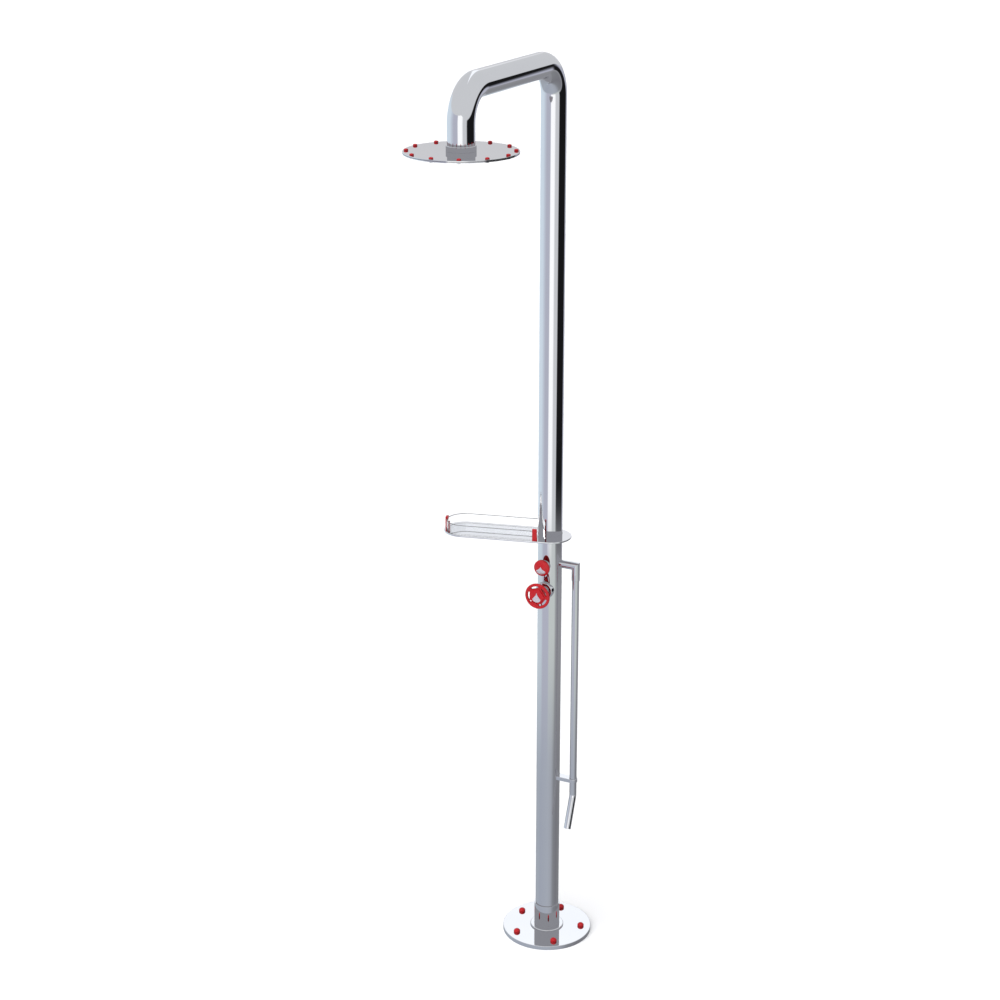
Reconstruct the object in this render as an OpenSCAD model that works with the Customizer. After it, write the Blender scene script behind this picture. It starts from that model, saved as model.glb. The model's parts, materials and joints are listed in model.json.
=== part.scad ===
// Free-standing shower column: a round steel column on a bolted floor flange, a bent arm with a flat
// round shower head, two front valves, a foot-wash pipe on the right and a tray shelf on the left.
// Millimetres. The origin is on the floor at the column's axis, +Z is up and the arm points along -Y.

/* [Column and arm] */
// Outside diameter of the column and arm tube
column_d = 60.3; // [59:0.1:61]
// Wall thickness of the column and arm tube
column_wall = 2; // [1.5:0.1:2.5]
// Height of the arm's axis above the floor
arm_z = 2268; // [2100:1:2500]
// Distance from the column's axis to the drop pipe's axis
arm_reach = 470; // [400:1:600]
// Centreline radius of the two arm bends
bend_r = 76; // [60:1:90]

/* [Base] */
// Diameter of the floor flange
flange_d = 231; // [220:1:260]
// Thickness of the floor flange
flange_t = 11; // [8:0.5:14]
// Diameter of the circle of floor bolts
anchor_pcd = 180; // [170:1:200]
// Diameter of each floor bolt hole
anchor_hole_d = 10; // [9:0.5:11]
// Height of the socket above the flange
socket_h = 67; // [40:1:90]

/* [Shower head] */
// Diameter of the shower head
head_d = 250; // [248:1:256]
// Length of the straight drop pipe between the arm's bend and the shower head
drop_l = 55; // [40:1:120]
// Thickness of each of the two head plates
head_plate_t = 2; // [1.5:0.1:2.5]
// Diameter of the circle of head screws
head_pcd = 234; // [228:1:237]
// Height of the collar round the drop pipe
head_collar_h = 12; // [8:1:20]

/* [Valves] */
// Height of the main valve's axis
main_z = 974; // [965:1:980]
// Height of the foot valve's axis and of the foot pipe's stub
foot_z = 1040; // [1035:1:1050]
// Radius of the handwheel's rim, to the middle of the rim bar
wheel_rim_r = 29.4; // [28:0.1:32]
// Radius of the handwheel's rim bar
wheel_bar_r = 3.7; // [3:0.1:4]
// Distance from the five-sided hub's middle to its flats
wheel_hub_flat = 17.3; // [15:0.1:18]
// Distance from the column's axis to the middle of the handwheel's rim
wheel_reach = 72.5; // [72:0.1:75]
// Radius of the foot-wash knob
knob_r = 20.5; // [18:0.1:23]
// Distance from the column's axis to the top of the knob's dome
knob_reach = 56; // [56:0.1:60]

/* [Foot wash] */
// Distance from the column's axis to the foot pipe's axis
foot_x = 70.6; // [65:0.1:80]
// Outside diameter of the foot pipe
foot_pipe_d = 18.2; // [17:0.1:18.5]
// Height of the bend near the foot pipe's lower end
foot_bend_z = 406; // [300:1:430]
// Length of the sloping spout below the bend
foot_spout_l = 86; // [60:1:120]
// Angle of the spout from the vertical, in degrees
foot_spout_tilt = 22.7; // [10:0.1:35]
// Height of the middle of the pipe's clamp
foot_clamp_z = 451; // [445:1:600]

/* [Shelf] */
// Height of the shelf's top face
shelf_z = 1117; // [1110:1:1200]
// Radius of the shelf's round ends
shelf_r = 52; // [50:0.5:56]
// Distance between the middles of the round ends
shelf_l = 217; // [180:1:260]
// Thickness of the shelf plate
shelf_t = 4; // [3:0.5:5]
// Direction of the shelf's long axis, in degrees from +X
shelf_turn = 193.4; // [180:0.1:205]
// Height of the clear band's top edge above the shelf plate
band_h = 24.5; // [18:0.5:30]

/* [Hidden] */
$fn = 96;

slip = 0.05;                                  // radial play of a pushed-in or turning fit
cut = 1;                                      // how far a cutter runs past a face
column_r = column_d / 2;
column_in_r = column_r - column_wall;
saddle_r = column_r + slip;                   // what sits on the column is hollowed to this radius
bend_z = arm_z - bend_r;
head_z = bend_z - drop_l;                     // the shower head's top face

socket_in_r = column_r + slip;
socket_r = socket_in_r + 2.8;
set_screw_z = flange_t + socket_h * 0.7;
set_screw_r = 3;
set_screw_turns = [60, 120];
ring_r = 43.5;
ring_h = 4;
inlet_hole_r = 17;
anchor_n = 5;
anchor_turn = 90;
anchor_washer_r = 7.5;
anchor_washer_t = 0.8;
anchor_bore_r = 4.2;
anchor_nut_flats = 13;
anchor_nut_h = 3.2;
anchor_cap_r = 8.4;
anchor_cap_h = 9.3;
anchor_cap_in_r = 7.6;
anchor_cap_depth = 4.3;
anchor_cap_dome = 9.4;
anchor_nut_z = flange_t + anchor_washer_t;
anchor_cap_z = flange_t + 0.1;

gasket_t = 1;
gasket_w = 19;
gasket_z = head_z - head_plate_t - gasket_t;
nozzle_plate_z = gasket_z - head_plate_t;
head_n = 12;
head_turn = 24.7;
head_screw_r = 1.95;
head_screw_hole_r = 2.25;
head_screw_up = 2.5;
head_screw_cap_r = 4;
head_screw_cap_h = 2.2;
head_nut_flats = 7;
head_nut_h = 2;
head_cap_r = 4.8;
head_cap_in_r = 4.15;
head_cap_h = 4;
head_cap_depth = 2.5;
head_cap_dome = 9;
head_cap_gap = 0.3;
head_port_r = 7;
nozzle_rings = 4;
nozzle_step = 23.5;
nozzle_r = 2;

riser_r = 9;
riser_in_r = 8;
supply_r = 11;
supply_in_r = 9.5;
inlet_thread_r = 9.3;
inlet_thread_l = 16;
inlet_z = 2;
inlet_socket_z = inlet_z + inlet_thread_l + 2;
inlet_top = inlet_socket_z + 12;
nipple_socket_z = head_z + 8;
nipple_top = head_z + 23;

block_r = 26;
block_low = main_z - 34;
block_high = foot_z + 38;
block_socket = 10;
way_over = 6;                                 // how far a way runs past the middle of a crossing one
supply_way = [-14, -10];                      // the block's rising supply channel, from its axis
riser_way_y = 13;                             // the block's rising outlet channel, behind its axis
way_r = 4.5;
port_r = 4;
main_pocket_r = 13;
foot_pocket_r = 8.5;
riser_socket_z = block_high - 12;

main_stem_r = 5;
foot_stem_r = 4;
main_front = 50;                              // where the main bonnet ends, from the column's axis
packing_nut_l = 7;
hub_back = wheel_reach - 5.5;
hub_front = wheel_reach + 5.5;
stem_end = wheel_reach - 0.5;
wheel_boss_r = 18;
wheel_boss_back = main_front + packing_nut_l + 1.5;
wheel_screw_seat = stem_end + 2.2;
wheel_screw_cap_r = 3.5;
mark_low = 6;                                 // the widest line of both marks, below the middle

foot_front = 42;                              // where the foot bonnet ends, from the column's axis
knob_back = foot_front + 2;
knob_dome = 6;
knob_sphere_r = (pow(knob_r, 2) + pow(knob_dome, 2)) / (2 * knob_dome);

foot_pipe_r = foot_pipe_d / 2;
foot_pipe_in_r = foot_pipe_r - 1.5;
foot_bend_r = 25;
foot_bend_run = foot_bend_r * tan(foot_spout_tilt / 2);
foot_bend_top = foot_bend_z + foot_bend_run;
elbow_r = 10.3;
elbow_low = foot_z - 38;
elbow_socket = 16;
spigot_r = 8;
spigot_x = 20;
clamp_w = 22;
clamp_h = 10;

shelf_back = -4.3;                            // the near round end's middle, along the shelf
shelf_side = 17.5;                            // the shelf's middle line, in front of the column
band_r = shelf_r - 6;                         // the band stands in from the plate's rim
band_t = 2;
band_low = 1.5;
clip_w = 11.5;
clip_u = 30.6;
clip_t = 3;
clip_h = band_h + 5.5;
clip_hook_t = 1.5;
clip_hook_h = 8;
clip_foot_l = 4;
clip_foot_h = band_h - 9;
clip_hook = -band_t - slip;                   // inner side of the clip's slot, from the band's outside
clip_screw_r = 1.25;
clip_screw_l = 6;
clip_screw_at = band_r + clip_hook - clip_foot_l / 2;

steel = "silver";
red = "firebrick";
brass = "goldenrod";

// A tube round the local z axis
module tube(r_out, r_in, h) {
    difference() {
        cylinder(r = r_out, h = h);
        translate([0, 0, -cut]) cylinder(r = r_in, h = h + 2 * cut);
    }
}

// A disc with its upper edge chamfered
module chamfered_disc(r, h, c) {
    rotate_extrude() polygon([[0, 0], [r, 0], [r, h - c], [r - c, h], [0, h]]);
}

// Places children round a circle
module ring_of(n, r, turn) {
    for (i = [0 : n - 1]) rotate([0, 0, turn + i * 360 / n]) translate([r, 0, 0]) children();
}

// Turns children's +z to the front (-Y) at a height
module front_at(z) {
    translate([0, 0, z]) rotate([90, 0, 0]) children();
}

// Turns children's +z to the right (+X) at a height
module right_at(z) {
    translate([0, 0, z]) rotate([0, 90, 0]) children();
}

// A bend in the YZ plane round a centre, from one angle over another; solid where r_in is 0
module bend(y, z, r, from, over, r_out, r_in) {
    translate([0, y, z]) rotate([90, 0, 90]) rotate([0, 0, from]) rotate_extrude(angle = over)
        translate([r, 0]) difference() {
            circle(r = r_out);
            if (r_in > 0) circle(r = r_in);
        }
}

// The space that the column fills, for parts that sit on it
module column_space() {
    cylinder(r = saddle_r, h = 2 * arm_z, center = true);
}

module hex(flats, h) {
    cylinder(r = flats / 2 / cos(30), h = h, $fn = 6);
}

// Outline of a drop, point up, widest on the x axis: hollow sides above, half an ellipse below
module drop(w, up, down) {
    steps = 12;
    right = [for (i = [0 : steps]) [w * pow(i / steps, 1.6), up * (1 - i / steps)]];
    below = [for (i = [1 : steps - 1]) [w * cos(180 * i / steps), -down * sin(180 * i / steps)]];
    left = [for (i = [steps : -1 : 1]) [-w * pow(i / steps, 1.6), up * (1 - i / steps)]];
    polygon(concat(right, below, left));
}

module base_flange() {
    color(steel) difference() {
        chamfered_disc(flange_d / 2, flange_t, 1);
        translate([0, 0, -cut]) cylinder(r = inlet_hole_r, h = flange_t + 2 * cut);
        ring_of(anchor_n, anchor_pcd / 2, anchor_turn)
            translate([0, 0, -cut]) cylinder(d = anchor_hole_d, h = flange_t + 2 * cut);
    }
}

module base_ring() {
    in_r = socket_r + slip;
    color(steel) translate([0, 0, flange_t]) rotate_extrude()
        polygon([[in_r, 0], [ring_r, 0], [ring_r, ring_h - 2.5], [ring_r - 2.5, ring_h],
            [in_r, ring_h]]);
}

module base_socket() {
    color(steel) difference() {
        translate([0, 0, flange_t]) tube(socket_r, socket_in_r, socket_h);
        for (a = set_screw_turns) rotate([0, 0, a]) right_at(set_screw_z)
            cylinder(r = set_screw_r + slip, h = socket_r + cut);
    }
}

module socket_set_screws() {
    color("dimgray") for (a = set_screw_turns) rotate([0, 0, a]) right_at(set_screw_z) difference() {
        translate([0, 0, column_r + 0.1]) cylinder(r = set_screw_r, h = socket_r - column_r - 0.6);
        translate([0, 0, socket_r - 1.8]) hex(3, 3);
    }
}

module anchor_washers() {
    color(steel) ring_of(anchor_n, anchor_pcd / 2, anchor_turn)
        translate([0, 0, flange_t]) tube(anchor_washer_r, anchor_bore_r + 0.2, anchor_washer_t);
}

module anchor_nuts() {
    color("gray") ring_of(anchor_n, anchor_pcd / 2, anchor_turn)
        translate([0, 0, anchor_nut_z]) difference() {
            hex(anchor_nut_flats, anchor_nut_h);
            translate([0, 0, -cut]) cylinder(r = anchor_bore_r - 0.5, h = anchor_nut_h + 2 * cut);
        }
}

// A cap with a round pocket below and a domed top
module cap(r, h, in_r, depth, dome_r) {
    difference() {
        intersection() {
            cylinder(r = r, h = h);
            translate([0, 0, h - dome_r]) sphere(r = dome_r);
        }
        translate([0, 0, -cut]) cylinder(r = in_r, h = depth + cut);
    }
}

module anchor_caps() {
    color(red) ring_of(anchor_n, anchor_pcd / 2, anchor_turn)
        translate([0, 0, anchor_cap_z])
            cap(anchor_cap_r, anchor_cap_h, anchor_cap_in_r, anchor_cap_depth, anchor_cap_dome);
}

module column_tube() {
    color(steel) difference() {
        translate([0, 0, flange_t]) tube(column_r, column_in_r, bend_z - flange_t);
        front_at(main_z) cylinder(r = main_pocket_r + 0.8, h = column_r + cut);
        front_at(foot_z) cylinder(r = foot_pocket_r + 0.3, h = column_r + cut);
        right_at(foot_z) cylinder(r = spigot_r + 0.3, h = column_r + cut);
    }
}

module column_elbow() {
    color(steel) bend(-bend_r, bend_z, bend_r, 0, 90, column_r, column_in_r);
}

module arm_tube() {
    color(steel) translate([0, -bend_r, 0]) front_at(arm_z)
        tube(column_r, column_in_r, arm_reach - 2 * bend_r);
}

module head_elbow() {
    color(steel) bend(bend_r - arm_reach, bend_z, bend_r, 90, 90, column_r, column_in_r);
}

// Everything on the drop pipe's axis
module at_head(z) {
    translate([0, -arm_reach, z]) children();
}

module drop_tube() {
    color(steel) at_head(head_z) tube(column_r, column_in_r, bend_z - head_z);
}

module head_collar() {
    color(steel) at_head(head_z) tube(socket_in_r + 2.6, socket_in_r, head_collar_h);
}

module head_screw_holes(h) {
    ring_of(head_n, head_pcd / 2, head_turn)
        translate([0, 0, -cut]) cylinder(r = head_screw_hole_r, h = h + 2 * cut, $fn = 32);
}

module head_top_plate() {
    color(steel) at_head(head_z - head_plate_t) difference() {
        cylinder(d = head_d, h = head_plate_t);
        translate([0, 0, -cut]) cylinder(r = head_port_r, h = head_plate_t + 2 * cut);
        head_screw_holes(head_plate_t);
    }
}

module head_gasket() {
    color("black") at_head(gasket_z) difference() {
        tube(head_d / 2 - 0.5, head_d / 2 - gasket_w, gasket_t);
        head_screw_holes(gasket_t);
    }
}

// Places children at every spray nozzle
module nozzle_places() {
    for (k = [1 : nozzle_rings]) ring_of(6 * k, k * nozzle_step, k * 15) children();
}

module head_nozzle_plate() {
    color(steel) at_head(nozzle_plate_z) difference() {
        cylinder(d = head_d, h = head_plate_t);
        head_screw_holes(head_plate_t);
        nozzle_places() translate([0, 0, -cut])
            cylinder(r = nozzle_r + slip, h = head_plate_t + 2 * cut, $fn = 32);
    }
}

module head_nozzles() {
    t = head_plate_t;
    color("dimgray") at_head(nozzle_plate_z) nozzle_places() rotate_extrude($fn = 32)
        polygon([[0.7, -3.4], [1.3, -3.4], [nozzle_r, -1], [nozzle_r, t], [2.8, t], [2.8, t + 0.5],
            [0.7, t + 0.5]]);
}

module head_screws() {
    shank = head_plate_t * 2 + gasket_t + head_screw_up;
    color(steel) at_head(nozzle_plate_z) ring_of(head_n, head_pcd / 2, head_turn) {
        cylinder(r = head_screw_r, h = shank, $fn = 32);
        translate([0, 0, -head_screw_cap_h]) rotate_extrude($fn = 32)
            polygon([[0, 0], [head_screw_cap_r - 1.2, 0], [head_screw_cap_r, 1.2],
                [head_screw_cap_r, head_screw_cap_h], [0, head_screw_cap_h]]);
    }
}

module head_nuts() {
    color(steel) at_head(head_z) ring_of(head_n, head_pcd / 2, head_turn) difference() {
        hex(head_nut_flats, head_nut_h);
        translate([0, 0, -cut]) cylinder(r = head_screw_r + slip, h = head_nut_h + 2 * cut, $fn = 32);
    }
}

module head_caps() {
    color(red) at_head(head_z + head_cap_gap) ring_of(head_n, head_pcd / 2, head_turn)
        cap(head_cap_r, head_cap_h, head_cap_in_r, head_cap_depth, head_cap_dome, $fn = 48);
}

module head_nipple() {
    color(brass) at_head(head_z) difference() {
        cylinder(r = 14, h = nipple_top - head_z);
        translate([0, 0, -cut]) cylinder(r = head_port_r, h = nipple_top);
        translate([0, 0, nipple_socket_z - head_z]) cylinder(r = riser_r + slip, h = nipple_top);
    }
}

module inlet_nipple() {
    color(brass) difference() {
        union() {
            translate([0, 0, inlet_z]) cylinder(r = inlet_hole_r - 0.2, h = inlet_top - inlet_z);
            translate([0, 0, flange_t]) cylinder(r = inlet_hole_r + 5, h = 4);
        }
        translate([0, 0, inlet_z - cut]) cylinder(r = inlet_thread_r, h = inlet_thread_l + cut);
        translate([0, 0, inlet_z]) cylinder(r = 8, h = inlet_top);
        translate([0, 0, inlet_socket_z]) cylinder(r = supply_r + slip, h = inlet_top);
    }
}

module supply_pipe() {
    color("peru") translate([0, 0, inlet_socket_z])
        tube(supply_r, supply_in_r, block_low + block_socket - inlet_socket_z);
}

// Joins the supply, both valve pockets, the foot outlet and the riser
module valve_block() {
    bottom_way_z = block_low + block_socket + way_over;
    top_way_z = riser_socket_z - 9;
    color(brass) difference() {
        translate([0, 0, block_low]) cylinder(r = block_r, h = block_high - block_low);
        translate([0, 0, block_low - cut]) cylinder(r = supply_r + slip, h = block_socket + cut);
        translate([0, 0, block_low]) cylinder(r = 6.5, h = block_socket + 2 * way_over);
        translate([0, 0, bottom_way_z]) rotate([0, 0, atan2(supply_way[1], supply_way[0])])
            rotate([0, 90, 0]) cylinder(r = port_r, h = norm(supply_way));
        translate([supply_way[0], supply_way[1], bottom_way_z - way_over])
            cylinder(r = way_r, h = foot_z - bottom_way_z + 2 * way_over);
        front_at(main_z) translate([0, 0, 4]) cylinder(r = main_pocket_r, h = block_r);
        front_at(foot_z) translate([0, 0, -port_r - 1]) cylinder(r = foot_pocket_r, h = 2 * block_r);
        front_at(main_z) translate([0, 0, -riser_way_y]) cylinder(r = port_r, h = riser_way_y + 5);
        translate([supply_way[0], -11, foot_z]) rotate([0, 90, 0]) cylinder(r = 3, h = 9);
        right_at(foot_z) cylinder(r = port_r, h = block_r + cut);
        right_at(foot_z) translate([0, 0, spigot_x]) cylinder(r = spigot_r + slip, h = block_r);
        translate([0, riser_way_y, main_z - way_over])
            cylinder(r = way_r, h = top_way_z - main_z + 2 * way_over);
        translate([0, riser_way_y, top_way_z]) rotate([90, 0, 0]) cylinder(r = port_r, h = riser_way_y);
        translate([0, 0, top_way_z - way_over]) cylinder(r = 6.5, h = block_high - top_way_z);
        translate([0, 0, riser_socket_z]) cylinder(r = riser_r + slip, h = block_high);
    }
}

module riser_pipe() {
    color("peru") {
        translate([0, 0, riser_socket_z]) tube(riser_r, riser_in_r, bend_z - riser_socket_z);
        bend(-bend_r, bend_z, bend_r, 0, 90, riser_r, riser_in_r);
        translate([0, -bend_r, 0]) front_at(arm_z) tube(riser_r, riser_in_r, arm_reach - 2 * bend_r);
        bend(bend_r - arm_reach, bend_z, bend_r, 90, 90, riser_r, riser_in_r);
        at_head(nipple_socket_z) tube(riser_r, riser_in_r, bend_z - nipple_socket_z);
    }
}

// A valve cartridge: seat ports at the back, a chamber with a side port, and the stem's bore
module cartridge(r, back, chamber_r, stem_r, seat_r) {
    difference() {
        translate([0, 0, back]) cylinder(r = r, h = 27 - back);
        translate([0, 0, 8]) cylinder(r = chamber_r, h = 6);
        translate([0, 0, 8]) cylinder(r = stem_r + slip, h = 20);
        translate([0, 0, 11]) rotate([0, -90, 0]) cylinder(r = 2.6, h = r + cut);
        for (s = [-1, 1]) translate([s * chamber_r * 0.6, 0, back - cut])
            cylinder(r = seat_r, h = 12 - back);
    }
}

module main_cartridge() {
    color("white") front_at(main_z) cartridge(main_pocket_r - slip, 5, 8, main_stem_r, 2.5);
}

module foot_cartridge() {
    color("white") front_at(foot_z) cartridge(foot_pocket_r - slip, 4.5, 5.5, foot_stem_r, 1.8);
}

// A threaded bonnet with the stem's bore and a groove for its seal
module bonnet(r, end, stem_r, groove_at) {
    translate([0, 0, 27]) difference() {
        chamfered_disc(r, end - 27, 1);
        translate([0, 0, -cut]) cylinder(r = stem_r + slip, h = end);
        translate([0, 0, groove_at - 27]) cylinder(r = stem_r + 2.3, h = 2.4);
    }
}

// A gland seal: a ring of round section on the stem
module seal(stem_r, groove_at) {
    translate([0, 0, groove_at + 1.2]) rotate_extrude()
        translate([stem_r + 1.15, 0]) circle(r = 1.05, $fn = 32);
}

// A cover rose that follows the column's curve
module rose(r, in_r, end) {
    difference() {
        translate([0, 0, end - 20]) chamfered_disc(r, 20, 2);
        cylinder(r = in_r, h = end + cut);
        rotate([-90, 0, 0]) column_space();
    }
}

module main_bonnet() {
    color(steel) front_at(main_z) bonnet(main_pocket_r, main_front, main_stem_r, 40);
}

module main_escutcheon() {
    color(steel) front_at(main_z) rose(22, main_pocket_r + slip, 36);
}

module main_seal() {
    color("black") front_at(main_z) seal(main_stem_r, 40);
}

module packing_nut() {
    color(steel) front_at(main_z) translate([0, 0, main_front]) difference() {
        hex(22, packing_nut_l);
        translate([0, 0, -cut]) cylinder(r = main_stem_r + slip, h = packing_nut_l + 2 * cut);
    }
}

// A stem with its seat disc
module stem(r, disc_r, end) {
    translate([0, 0, 8.3]) cylinder(r = disc_r, h = 5.4);
    translate([0, 0, 8.3]) cylinder(r = r, h = end - 8.3);
}

module main_spindle() {
    color("darkgray") front_at(main_z) difference() {
        stem(main_stem_r, 7.7, stem_end);
        translate([0, 0, stem_end - 8]) cylinder(r = 2, h = 8 + cut);
    }
}

module handwheel() {
    spoke_r = 3.3;
    color(red) front_at(main_z) difference() {
        union() {
            translate([0, 0, wheel_reach]) rotate_extrude()
                translate([wheel_rim_r, 0]) circle(r = wheel_bar_r);
            intersection() {
                translate([0, 0, hub_back])
                    cylinder(r = wheel_hub_flat / cos(36), h = hub_front - hub_back, $fn = 5);
                translate([0, 0, hub_back]) chamfered_disc(wheel_hub_flat + 6, hub_front - hub_back, 5);
            }
            ring_of(5, 0, 0) translate([0, 0, wheel_reach]) rotate([0, 90, 0])
                cylinder(r = spoke_r, h = wheel_rim_r);
            translate([0, 0, wheel_boss_back])
                cylinder(r1 = wheel_boss_r - 2, r2 = wheel_boss_r, h = hub_back - wheel_boss_back + cut);
        }
        translate([0, 0, wheel_boss_back - cut])
            cylinder(r = main_stem_r + slip, h = stem_end - wheel_boss_back + cut);
        cylinder(r = 2.2, h = hub_front);
        translate([0, 0, wheel_screw_seat]) cylinder(r = wheel_screw_cap_r + 0.2, h = hub_front);
    }
}

module handwheel_screw() {
    color("dimgray") front_at(main_z) translate([0, 0, wheel_screw_seat]) difference() {
        union() {
            cylinder(r = wheel_screw_cap_r, h = 2.6);
            translate([0, 0, -8]) cylinder(r = 1.95, h = 8 + cut);
        }
        translate([0, 0, 1.2]) hex(3, 2);
    }
}

module handwheel_mark() {
    color("lightgray") front_at(main_z) translate([0, -mark_low, hub_front])
        linear_extrude(0.8) drop(11, 16, 8.5);
}

module foot_bonnet() {
    color(steel) front_at(foot_z) bonnet(foot_pocket_r, foot_front, foot_stem_r, 35);
}

module foot_escutcheon() {
    color(steel) front_at(foot_z) rose(14, foot_pocket_r + slip, 35);
}

module foot_seal() {
    color("black") front_at(foot_z) seal(foot_stem_r, 35);
}

module foot_spindle() {
    color("darkgray") front_at(foot_z) stem(foot_stem_r, 5.2, knob_reach - 4);
}

module knob_ball(more) {
    translate([0, 0, knob_reach - knob_sphere_r]) sphere(r = knob_sphere_r + more);
}

module foot_knob() {
    color(red) front_at(foot_z) difference() {
        intersection() {
            translate([0, 0, knob_back]) cylinder(r = knob_r, h = knob_reach - knob_back + cut);
            knob_ball(0);
        }
        translate([0, 0, knob_back - cut])
            cylinder(r = foot_stem_r + slip, h = knob_reach - 4 - knob_back + cut);
    }
}

module foot_knob_mark() {
    color("lightgray") front_at(foot_z) difference() {
        intersection() {
            translate([0, -mark_low, knob_back + 2]) linear_extrude(knob_reach) drop(12.2, 11.5, 8.5);
            knob_ball(0.6);
        }
        knob_ball(0);
    }
}

// Half of the space on one side of the elbow's mitre: above it and left, or below it and right
module mitre_side(above) {
    side = 8 * elbow_r;
    translate([foot_x, 0, foot_z]) rotate([0, -45, 0])
        translate([-side / 2, -side / 2, above ? 0 : -side]) cube(side);
}

// A sharp-cornered elbow: a stub along +X with a spigot into the valve block, and a leg down
module foot_elbow() {
    way = 6;
    color(steel) difference() {
        union() {
            intersection() {
                difference() {
                    right_at(foot_z) translate([0, 0, column_r / 2]) cylinder(r = elbow_r, h = foot_x);
                    column_space();
                }
                mitre_side(true);
            }
            intersection() {
                translate([foot_x, 0, elbow_low])
                    cylinder(r = elbow_r, h = foot_z + elbow_r - elbow_low + cut);
                mitre_side(false);
            }
            right_at(foot_z) translate([0, 0, spigot_x])
                cylinder(r = spigot_r, h = column_r + 4 - spigot_x);
        }
        right_at(foot_z) cylinder(r = way, h = foot_x);
        translate([foot_x, 0, elbow_low - cut]) cylinder(r = way, h = foot_z - elbow_low + cut);
        translate([foot_x, 0, elbow_low - cut]) cylinder(r = foot_pipe_r + slip, h = elbow_socket + cut);
    }
}

module foot_pipe() {
    color(steel) translate([foot_x, 0, foot_bend_top])
        tube(foot_pipe_r, foot_pipe_in_r, elbow_low + elbow_socket - foot_bend_top);
}

// The bend and the sloping end of the foot pipe, built along its own slope
module foot_spout() {
    turned_y = foot_bend_r * (cos(foot_spout_tilt) - 1);
    turned_z = foot_bend_top - foot_bend_r * sin(foot_spout_tilt);
    length = foot_spout_l - foot_bend_run;
    color(steel) translate([foot_x, turned_y, turned_z]) rotate([-foot_spout_tilt, 0, 0]) {
        translate([0, 0, -length]) tube(foot_pipe_r, foot_pipe_in_r, length);
        bend(-foot_bend_r, 0, foot_bend_r, 0, foot_spout_tilt, foot_pipe_r, foot_pipe_in_r);
    }
}

module foot_clamp() {
    color(steel) translate([0, 0, foot_clamp_z - clamp_h / 2]) difference() {
        union() {
            translate([0, -clamp_w / 2, 0]) cube([foot_x, clamp_w, clamp_h]);
            translate([foot_x, 0, 0]) cylinder(d = clamp_w, h = clamp_h);
        }
        translate([foot_x, 0, -cut]) cylinder(r = foot_pipe_r + slip, h = clamp_h + 2 * cut);
        column_space();
    }
}

// The shelf's own frame: +x runs out along the shelf, +y to its front side, z = 0 on the plate's top
module shelf_frame() {
    rotate([0, 0, shelf_turn]) translate([shelf_back, shelf_side, shelf_z]) children();
}

module stadium(r, h) {
    cylinder(r = r, h = h);
    translate([shelf_l, 0, 0]) cylinder(r = r, h = h);
    translate([0, -r, 0]) cube([shelf_l, 2 * r, h]);
}

// Places children at the three clip screws
module clip_screw_places() {
    for (s = [0, 1]) mirror([0, s, 0]) translate([clip_u, clip_screw_at, 0]) children();
    translate([shelf_l + clip_screw_at, 0, 0]) children();
}

module shelf_plate() {
    color(steel) difference() {
        shelf_frame() translate([0, 0, -shelf_t]) difference() {
            stadium(shelf_r, shelf_t);
            clip_screw_places() translate([0, 0, -cut])
                cylinder(r = clip_screw_r + 0.2, h = shelf_t + 2 * cut, $fn = 32);
        }
        column_space();
    }
}

module shelf_band() {
    color([0.8, 0.9, 0.95, 0.4]) shelf_frame() translate([0, 0, band_low]) difference() {
        stadium(band_r, band_h - band_low);
        translate([0, 0, -cut]) stadium(band_r - band_t, band_h + 2 * cut);
        translate([-2 * band_r, -2 * band_r, -cut])
            cube([2 * band_r + clip_u - clip_w / 2, 4 * band_r, band_h + 2 * cut]);
    }
}

// Section of a clip: x runs outwards from the band's outside, y up from the plate's top
module clip_section() {
    polygon([[clip_t, 0], [clip_t, clip_h], [clip_hook - clip_hook_t, clip_h],
        [clip_hook - clip_hook_t, clip_h - clip_hook_h], [clip_hook, clip_h - clip_hook_h],
        [clip_hook, band_h + slip], [slip, band_h + slip], [slip, band_low - slip],
        [clip_hook, band_low - slip], [clip_hook, clip_foot_h], [clip_hook - clip_foot_l, clip_foot_h],
        [clip_hook - clip_foot_l, 0]]);
}

module shelf_clips() {
    tip_turn = clip_w / band_r * 180 / PI;
    color(red) difference() {
        shelf_frame() difference() {
            union() {
                for (s = [0, 1]) mirror([0, s, 0]) translate([clip_u - clip_w / 2, band_r, 0])
                    rotate([90, 0, 90]) linear_extrude(clip_w) clip_section();
                translate([shelf_l, 0, 0]) rotate([0, 0, -tip_turn / 2]) rotate_extrude(angle = tip_turn)
                    translate([band_r, 0]) clip_section();
            }
            clip_screw_places() translate([0, 0, -cut])
                cylinder(r = clip_screw_r + slip, h = clip_screw_l + 2 * cut, $fn = 32);
        }
        column_space();
    }
}

module shelf_screws() {
    color("dimgray") shelf_frame() clip_screw_places() translate([0, 0, -shelf_t]) {
        cylinder(r = clip_screw_r, h = shelf_t + clip_screw_l, $fn = 32);
        translate([0, 0, -1.8]) cylinder(r = 2.5, h = 1.8, $fn = 32);
    }
}

base_flange();
base_ring();
base_socket();
socket_set_screws();
anchor_washers();
anchor_nuts();
anchor_caps();
column_tube();
column_elbow();
arm_tube();
head_elbow();
drop_tube();
head_collar();
head_top_plate();
head_gasket();
head_nozzle_plate();
head_nozzles();
head_screws();
head_nuts();
head_caps();
head_nipple();
inlet_nipple();
supply_pipe();
valve_block();
riser_pipe();
main_cartridge();
main_bonnet();
main_escutcheon();
main_seal();
packing_nut();
main_spindle();
handwheel();
handwheel_screw();
handwheel_mark();
foot_cartridge();
foot_bonnet();
foot_escutcheon();
foot_seal();
foot_spindle();
foot_knob();
foot_knob_mark();
foot_elbow();
foot_pipe();
foot_spout();
foot_clamp();
shelf_plate();
shelf_band();
shelf_clips();
shelf_screws();
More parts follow.
